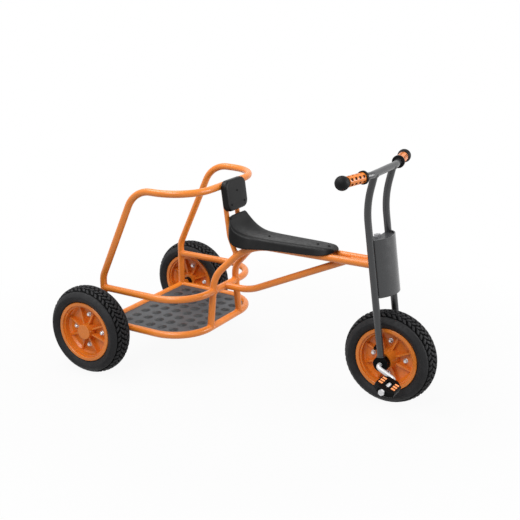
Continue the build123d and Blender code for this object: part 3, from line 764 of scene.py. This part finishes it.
class TRIKE_OT_saddle(bpy.types.Operator):
    """Moulded saddle shell with its rolled edge, upswept tail and screws"""

    bl_idname = "trike.saddle"
    bl_label = "Saddle"

    # Columns: share of the length from the tail, half width of the seat, half width of the skirt, height of
    # the seat over the main tubes, height of the skirt's edge, roll of the seat's edge, dip of its middle, in mm
    sections = (
        (0.0, 43.0, 49.0, 78.5, 47.0, 4.0, 1.0),
        (0.032, 54.0, 64.0, 59.5, 15.0, 7.0, 2.0),
        (0.07, 58.0, 67.0, 46.5, 3.0, 10.0, 3.0),
        (0.145, 53.0, 65.0, 35.0, -3.5, 12.0, 3.5),
        (0.24, 45.0, 60.0, 28.5, -3.0, 12.0, 2.5),
        (0.36, 42.0, 54.5, 26.6, 0.0, 12.0, 1.5),
        (0.5, 39.6, 50.2, 26.2, 2.0, 12.0, 0.8),
        (0.64, 37.4, 47.2, 26.0, 3.2, 12.0, 0.5),
        (0.78, 35.0, 44.2, 26.0, 4.0, 12.0, 0.3),
        (0.89, 31.0, 40.0, 25.7, 6.0, 10.5, 0.0),
        (0.96, 24.5, 32.0, 24.5, 10.0, 7.5, 0.0),
        (1.0, 14.0, 18.0, 21.0, 13.0, 4.0, 0.0),
    )
    # How far the last sections at each end are drawn in, as a distance from the end in mm and a share
    ends = ((0.0, 0.9), (0.5, 0.955), (1.4, 0.985))
    # Distance in mm from those to the next section, and number of full sections
    end_gap = 1.2
    stations = 70
    # Steps of a half section over the seat, its rolled edge and the skirt
    seat_steps, roll_steps, skirt_steps = 9, 8, 7
    # Screws: shares of the length from the tail, and radius of the heads
    screws = (0.335, 0.822, 0.93)
    screw_r = 4.2 * MM
    # Feet: distance of their middle from the brackets' ends, and corners in shares of their half sizes
    foot_inset = 15 * MM
    foot_corners = cut_corners(0.8, 0.9)

    def execute(self, context):
        low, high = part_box("saddle")
        length = high.x - low.x
        wall = context.scene.trike_sizes.saddle_wall
        self.add_shell(low.x, length, wall)
        self.add_feet(low.x, length, wall)
        self.add_screws(low.x, length)
        return {"FINISHED"}

    def profile(self, x, seat, skirt, top, edge, roll, dip):
        """Half of a cross-section, from the middle of the seat over its rolled edge down to the skirt."""
        side = Vector((skirt - seat, edge - top)).normalized()
        fall = math.atan2(-side.y, side.x)
        flat = seat - roll * math.tan(fall / 2)
        line = []
        for k in range(self.seat_steps):
            t = k / self.seat_steps
            line.append((flat * t, top - dip * (1 - t * t) ** 2))
        for k in range(self.roll_steps + 1):
            turn = math.pi / 2 - fall * k / self.roll_steps
            line.append((flat + roll * math.cos(turn), top - roll + roll * math.sin(turn)))
        start_y, start_z = line[-1]
        for k in range(1, self.skirt_steps + 1):
            t = k / self.skirt_steps
            line.append((start_y + (skirt - start_y) * t, start_z + (edge - start_z) * t))
        return [Vector((x, y * MM, MAIN_Z + z * MM)) for y, z in line]

    def station(self, start, length, share):
        """Half section at a share of the length."""
        return self.profile(start + share * length, *through(self.sections, share))

    def drawn_in(self, half, share):
        """Copy of an end section, drawn in a little to round the end."""
        centre = sum((p.z for p in half), 0.0) / len(half)
        return [Vector((p.x, p.y * share, centre + (p.z - centre) * share)) for p in half]

    def add_shell(self, start, length, wall):
        """Adds the shell: sections from tail to nose with closed ends, given their wall by a modifier."""
        halves = []
        for away, share in self.ends:
            halves.append(self.drawn_in(self.station(start, length, away * MM / length), share))
        first = (self.ends[-1][0] + self.end_gap) * MM / length
        for k in range(self.stations):
            eased = 0.5 - 0.5 * math.cos(math.pi * k / (self.stations - 1))
            halves.append(self.station(start, length, first + (1 - 2 * first) * eased))
        for away, share in reversed(self.ends):
            halves.append(self.drawn_in(self.station(start, length, 1 - away * MM / length), share))
        shape = Shape()
        rings = [[Vector((p.x, -p.y, p.z)) for p in reversed(half[1:])] + half for half in halves]
        shape.rings(rings, cyclic=False)
        count = len(rings[0])
        for ring in (0, len(rings) - 1):
            self.close_end(shape, ring * count, count)
        saddle = piece("saddle_shell", shape, "frame", "black_moulding", ("saddle",), sharp=80.0)
        shell = saddle.modifiers.new("wall", "SOLIDIFY")
        shell.thickness = wall
        shell.offset = -1.0
        smooth = saddle.modifiers.new("smooth", "SUBSURF")
        smooth.levels = 1
        smooth.render_levels = 1

    def close_end(self, shape, start, count):
        """Adds the faces of an end: strips across its section, from the skirt's edges up to the seat's middle."""
        for i in range(count // 2):
            j = count - 1 - i
            if j - i > 2:
                shape.faces.append((start + i, start + i + 1, start + j - 1, start + j))
            elif j - i == 2:
                shape.faces.append((start + i, start + i + 1, start + j))

    def add_feet(self, start, length, wall):
        """Adds the moulded feet that stand on the saddle brackets."""
        low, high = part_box("saddle_brackets")
        shape = Shape()
        for x in (low.x + self.foot_inset, high.x - self.foot_inset):
            top = through(self.sections, (x - start) / length)[2] * MM + MAIN_Z - wall / 2
            rings = []
            for z, half_x, half_y in (
                (high.z + 0.2 * MM, 11 * MM, 19 * MM),
                (high.z + 1.2 * MM, 12 * MM, 20 * MM),
                (top, 13 * MM, 22 * MM),
            ):
                rings.append([Vector((x + u * half_x, v * half_y, z)) for u, v in self.foot_corners])
            shape.rings(rings, cap_start=True, cap_end=True)
        piece("saddle_feet", shape, "frame", "black_moulding")

    def add_screws(self, start, length):
        """Adds the screw heads along the middle of the seat."""
        shape = Shape()
        for share in self.screws:
            _, _, top, _, _, dip = through(self.sections, share)
            spot = Vector((start + share * length, 0, MAIN_Z + (top - dip) * MM))
            domed_screw(shape, spot, UP, self.screw_r)
        piece("saddle_screws", shape, "frame", "grip_rubber")


class TRIKE_OT_backrest(bpy.types.Operator):
    """Backrest pad: crowned moulding with rolled edges"""

    bl_idname = "trike.backrest"
    bl_label = "Backrest"

    # Lean from the upright, height, thickness, and radius of the outline's corners, full and drawn in
    lean = math.radians(8.0)
    height = 88 * MM
    thickness = 20 * MM
    corner = 22 * MM
    least_corner = 5 * MM
    # Columns: how far the outline is drawn in, and height over the back face, in mm
    layers = (
        (8.0, 0.0), (2.5, 0.1), (0.6, 1.2), (0.0, 3.5), (0.0, 12.0), (0.7, 15.2), (2.4, 17.4),
        (5.2, 18.4), (9.0, 18.9), (16.0, 19.4), (25.0, 19.8), (34.0, 20.0),
    )
    # Screws, columns: distance to the left of the middle and height from the pad's middle, in mm
    screws = ((0.0, 10.5), (-33.0, -25.0), (33.0, -25.0))
    screw_r = 3.6 * MM
    screw_sink = 0.4 * MM

    def execute(self, context):
        low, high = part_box("backrest_pad")
        ahead = Vector((math.cos(self.lean), 0, math.sin(self.lean)))
        up = Vector((-math.sin(self.lean), 0, math.cos(self.lean)))
        across = Vector(LEFT)
        half_y = (high.y - low.y) / 2
        half_z = self.height / 2
        back = Vector((low.x + half_z * math.sin(self.lean), 0, low.z + half_z * math.cos(self.lean)))
        shape = Shape()
        rings = []
        for inset_mm, height_mm in self.layers:
            inset = inset_mm * MM
            outline = self.outline(half_y - inset, half_z - inset, max(self.corner - inset, self.least_corner))
            rings.append([back + ahead * height_mm * MM + across * y + up * z for y, z in outline])
        shape.rings(rings, cap_start=True, cap_end=True)
        piece("backrest_shell", shape, "frame", "black_moulding", ("backrest_pad",), sharp=60.0)
        bolts = Shape()
        for y, z in self.screws:
            spot = back + ahead * (self.thickness - self.screw_sink) + across * y * MM + up * z * MM
            domed_screw(bolts, spot, ahead, self.screw_r)
        piece("backrest_screws", bolts, "frame", "grip_rubber")
        return {"FINISHED"}

    def outline(self, half_y, half_z, radius, steps=8):
        """Points round a rectangle with round corners."""
        points = []
        for turn, (cy, cz) in enumerate(((1, 1), (-1, 1), (-1, -1), (1, -1))):
            for k in range(steps + 1):
                angle = math.pi / 2 * (turn + k / steps)
                points.append((
                    cy * (half_y - radius) + radius * math.cos(angle),
                    cz * (half_z - radius) + radius * math.sin(angle),
                ))
        return points


class TRIKE_OT_steering(bpy.types.Operator):
    """Fork, handlebar, crowns, shield and bearing housings"""

    bl_idname = "trike.steering"
    bl_label = "Steering"

    # Lean of the fork's upper ends from the upright
    top_lean = math.radians(13.1)

    def execute(self, context):
        bead = context.scene.trike_sizes.weld_radius
        dress_nodes(("fork_tube_right", "fork_tube_left", "handlebar", "shield"), "grey_powder_coat")
        dress_nodes(("lower_crown", "upper_crown"), "crown_coat")
        dress_nodes(("steering_pin",), "pin_steel")
        dress_nodes(("bearing_housing_right", "bearing_housing_left"), "pedal_black")
        shape = Shape()
        housing_low, housing_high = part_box("bearing_housing_right")
        housing_r = (housing_high.z - housing_low.z) / 2
        bar_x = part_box("handlebar")[1].x - BAR_R
        down = Vector((-math.sin(self.top_lean), 0, -math.cos(self.top_lean)))
        for _, sign in SIDES:
            axle = Vector((FRONT_AXLE.x, sign * FORK_Y, FRONT_AXLE.z))
            weld(shape, axle, STEER_UP, FORK_R, axle, ACROSS, housing_r, bead)
            bar = Vector((bar_x, sign * FORK_Y, BAR_Z))
            weld(shape, bar, down, FORK_R, bar, ACROSS, BAR_R, bead)
        piece("steering_welds", shape, "steering", "grey_powder_coat")
        return {"FINISHED"}


class TRIKE_OT_grips(bpy.types.Operator):
    """Rubber grips and their slotted sleeves"""

    bl_idname = "trike.grips"
    bl_label = "Grips"

    def execute(self, context):
        dress_nodes(("grip_right", "grip_left"), "grip_rubber")
        dress_nodes(("grip_sleeve_right", "grip_sleeve_left"), "orange_moulding")
        return {"FINISHED"}


class TRIKE_OT_tyres(bpy.types.Operator):
    """Air tyres: smooth sidewalls and rows of small tread blocks"""

    bl_idname = "trike.tyres"
    bl_label = "Tyres"

    # Shares of the wheel's radius at the rim's lip and at the tyre's widest place, and the bead inside the rim
    lip_share = 88.2 / 130.0
    widest_share = 106.0 / 130.0
    bead_half = 27.8 * MM
    bead_depth = 7.8 * MM
    # How far the middle of a sidewall bulges out and sags towards the axle
    bulge_out, bulge_in = 2.08 * MM, 1.3 * MM
    # Angle at which the tread ends on the crown's arc, and where its floor begins and ends to rise there
    shoulder = math.radians(35.5)
    rise_start, rise_end = shoulder - 0.02, shoulder + 0.1
    # Steps round the wheel, up a sidewall and over the crown
    wheel_steps, side_steps, crown_steps = 168, 20, 48
    # Columns: distance of the row's middle from the tyre's middle and half width of its blocks, along the
    # crown in mm, slant of the blocks, share of a pitch by which the row is turned, and how far each second
    # block is drawn towards the middle, in mm
    rows = (
        (0.0, 4.4, 0.0, 0.0, 0.0),
        (11.0, 4.6, 0.3, 0.5, 0.0), (-11.0, 4.6, -0.3, 0.5, 0.0),
        (23.4, 5.2, -0.3, 0.0, 2.6), (-23.4, 5.2, 0.3, 0.0, 2.6),
    )
    # A block: half length as a share of the pitch, cut of its corners, and its rings of corners as a lift over
    # the crown and an inset in mm, the root's lift counted from the carcass
    block_share = 0.31
    block_cut = 1.6 * MM
    block_root = (-0.4, -0.5)
    block_rings = ((-0.9, 0.15), (-0.25, 0.45), (0.0, 1.1))

    def execute(self, context):
        sizes = context.scene.trike_sizes
        for name, body, tyre, _, _ in WHEELS:
            low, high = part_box(tyre)
            self.centre = (low + high) / 2
            self.radius = (high.z - low.z) / 2
            self.half = (high.y - low.y) / 2
            rise = self.radius * (1 - self.widest_share)
            self.crown = (self.half**2 + rise**2) / (2 * rise)
            shape = Shape()
            self.carcass(shape, sizes.tread_depth)
            # The floor between the tread blocks takes a far darker, almost shineless rubber: painted shade in the
            # grooves
            floor = [k for k, face in enumerate(shape.faces) if self.in_groove(shape, face)]
            self.blocks(shape, sizes.tread_depth, sizes.tread_count)
            tread = piece(f"{name}_tyre_tread", shape, body, "tyre_rubber", (tyre,), sharp=42.0)
            tread.data.materials.append(finish("tyre_groove_painted_shade"))
            for k in floor:
                tread.data.polygons[k].material_index = 1
        return {"FINISHED"}

    def in_groove(self, shape, face):
        """Whether a face of the carcass is the floor between the tread blocks."""
        spot = sum((shape.vertices[k] for k in face), Vector()) / len(face) - self.centre
        reach = math.hypot(spot.x, spot.z) - (self.radius - self.crown)
        return reach > 0 and abs(math.atan2(spot.y, reach)) < self.shoulder

    def wheel_point(self, across, reach, turn):
        """Point at a distance across the wheel, a reach from its axle and an angle round it."""
        return self.centre + Vector((reach * math.cos(turn), across, reach * math.sin(turn)))

    def on_crown(self, swing, lift):
        """Distance across the wheel and reach over the crown's arc, at an angle from the wheel's middle plane."""
        arc = self.crown + lift
        return arc * math.sin(swing), self.radius - self.crown + arc * math.cos(swing)

    def section(self, depth):
        """Closed section of the carcass as (across, reach) pairs."""
        lip = self.radius * self.lip_share
        widest = self.radius * self.widest_share
        edge = math.asin(self.half / self.crown)
        side = []
        for k in range(1, self.side_steps):
            t = k / self.side_steps
            swell = 4 * t * (1 - t)
            across = self.bead_half + (self.half - self.bead_half) * t + self.bulge_out * swell
            side.append((min(across, self.half), lip + (widest - lip) * t - self.bulge_in * swell))
        crown = []
        for k in range(self.crown_steps + 1):
            swing = edge - 2 * edge * k / self.crown_steps
            sunk = depth * (1 - smooth_step(abs(swing), self.rise_start, self.rise_end))
            crown.append(self.on_crown(swing, -sunk))
        right = [(self.bead_half, lip - self.bead_depth), (self.bead_half, lip)] + side
        left = [(-a, r) for a, r in reversed(right)]
        return right + crown + left

    def carcass(self, shape, depth):
        """Adds the tyre's body, its crown sunk by the depth of the tread."""
        rings = []
        section = self.section(depth)
        for k in range(self.wheel_steps):
            turn = 2 * math.pi * k / self.wheel_steps
            rings.append([self.wheel_point(a, r, turn) for a, r in section])
        shape.rings(rings, loop=True)

    def blocks(self, shape, depth, count):
        """Adds the tread: slanted blocks with drawn-in tops, each second row half a pitch on."""
        pitch = 2 * math.pi / count
        root_lift, root_inset = self.block_root
        layers = [(root_lift * MM - depth, root_inset * MM)]
        layers += [(lift * MM, inset * MM) for lift, inset in self.block_rings]
        for middle_mm, half_mm, slant, ahead, draw_mm in self.rows:
            for k in range(count):
                turn = pitch * (k + ahead)
                swing = (middle_mm - math.copysign(draw_mm * (k % 2), middle_mm)) * MM / self.crown
                _, reach = self.on_crown(swing, 0.0)
                rings = []
                for lift, inset in layers:
                    half_turn = self.block_share * pitch - inset / reach
                    half_swing = (half_mm * MM - inset) / self.crown
                    corners = cut_corners(
                        1 - self.block_cut / (half_turn * reach), 1 - self.block_cut / (half_swing * self.crown),
                    )
                    rings.append([
                        self.wheel_point(
                            *self.on_crown(swing + v * half_swing, lift),
                            turn + u * half_turn + slant * v * half_swing,
                        )
                        for u, v in corners
                    ])
                shape.rings(rings, cap_end=True)


class TRIKE_OT_rims(bpy.types.Operator):
    """Moulded rims, hub caps, rim bolts and valves"""

    bl_idname = "trike.rims"
    bl_label = "Rims"

    # Half thickness of the rims' web, and width to which their edges are softened
    web_half = 4.5 * MM
    soft_edge = 0.7 * MM
    # Bolts: turn of the first one, width over flats, height of the head and radius of the washer
    bolt_turn = math.radians(-3.0)
    bolt_flats, bolt_height, bolt_washer = 9.5 * MM, 5 * MM, 6.6 * MM
    # Valve: reach from the axle, angle round it, and columns of height over the web and radius in mm
    valve_reach = 42 * MM
    valve_angle = math.radians(150.0)
    valve_profile = (
        (-1, 6.4), (2.5, 6.4), (4.5, 5.2), (9, 4.6), (9.4, 3.8), (10, 4.8), (15.5, 4.7), (17, 3.6),
    )

    def execute(self, context):
        circle = context.scene.trike_sizes.bolt_circle
        dress_nodes([rim for _, _, _, rim, _ in WHEELS], "orange_moulding", self.soft_edge)
        dress_nodes(("hub_cap_right", "hub_cap_left"), "orange_moulding")
        dress_nodes(("front_axle",), "crank_zinc")
        for name, body, _, rim, valve_side in WHEELS:
            self.add_bolts(name, body, middle(rim), circle)
            self.add_valve(name, body, middle(rim), valve_side)
        return {"FINISHED"}

    def around(self, reach, turn):
        """Vector of a length from the axle at an angle round it."""
        return Vector((reach * math.cos(turn), 0, reach * math.sin(turn)))

    def add_bolts(self, name, body, centre, circle):
        """Adds four bolts, with a head on each face of the rim's web."""
        shape = Shape()
        for quarter in range(4):
            spot = centre + self.around(circle, self.bolt_turn + math.pi / 2 * quarter)
            for side in (-1, 1):
                face = Vector((0, side, 0))
                head = spot + face * self.web_half
                hex_bolt(shape, head, face, self.bolt_flats, self.bolt_height, self.bolt_washer)
        piece(f"{name}_rim_bolts", shape, body, "bright_steel", sharp=30.0)

    def add_valve(self, name, body, centre, side):
        """Adds the valve, standing out of the web on one side."""
        shape = Shape()
        face = Vector((0, side, 0))
        foot = centre + self.around(self.valve_reach, self.valve_angle) + face * self.web_half
        profile = [(height * MM, radius * MM) for height, radius in self.valve_profile]
        shape.turned(profile, facing(foot, face), sides=20)
        piece(f"{name}_valve", shape, body, "grip_rubber", sharp=40.0, look="pedal_black")


class TRIKE_OT_pedals(bpy.types.Operator):
    """Bent cranks and the pedals on their spindles"""

    bl_idname = "trike.pedals"
    bl_label = "Cranks and pedals"

    def execute(self, context):
        for side, _ in SIDES:
            dress_nodes((f"crank_{side}",), "crank_zinc")
            dress_nodes((f"pedal_{side}",), "pedal_black")
            # The pedal bars take a paler copy of the rim orange: painted light
            dress_nodes((f"pedal_bars_{side}",), "pedal_orange_painted_light")
        return {"FINISHED"}


OPERATORS = (
    TRIKE_OT_studio,
    TRIKE_OT_frame,
    TRIKE_OT_platform,
    TRIKE_OT_saddle,
    TRIKE_OT_backrest,
    TRIKE_OT_steering,
    TRIKE_OT_grips,
    TRIKE_OT_tyres,
    TRIKE_OT_rims,
    TRIKE_OT_pedals,
)


class TRIKE_PT_sidebar(bpy.types.Panel):
    """Lists the steps that dress the tricycle"""

    bl_idname = "TRIKE_PT_sidebar"
    bl_label = "Taxi Tricycle"
    bl_space_type = "VIEW_3D"
    bl_region_type = "UI"
    bl_category = "Tricycle"

    def draw(self, context):
        column = self.layout.column()
        for operator in OPERATORS:
            column.operator(operator.bl_idname)
        for group in (context.scene.trike_sizes, context.scene.trike_colours):
            for key in group.__annotations__:
                column.prop(group, key)


CLASSES = (TrikeColours, TrikeSizes, *OPERATORS, TRIKE_PT_sidebar)


def register():
    """Makes the classes and the scene's settings known."""
    for entry in CLASSES:
        bpy.utils.register_class(entry)
    bpy.types.Scene.trike_colours = PointerProperty(type=TrikeColours)
    bpy.types.Scene.trike_sizes = PointerProperty(type=TrikeSizes)


def unregister():
    """Takes the settings and the classes out again."""
    del bpy.types.Scene.trike_sizes
    del bpy.types.Scene.trike_colours
    for entry in reversed(CLASSES):
        bpy.utils.unregister_class(entry)


def main():
    register()
    bpy.ops.trike.studio()
    bpy.ops.trike.frame()
    bpy.ops.trike.platform()
    bpy.ops.trike.saddle()
    bpy.ops.trike.backrest()
    bpy.ops.trike.steering()
    bpy.ops.trike.grips()
    bpy.ops.trike.tyres()
    bpy.ops.trike.rims()
    bpy.ops.trike.pedals()


if __name__ == "__main__":
    main()
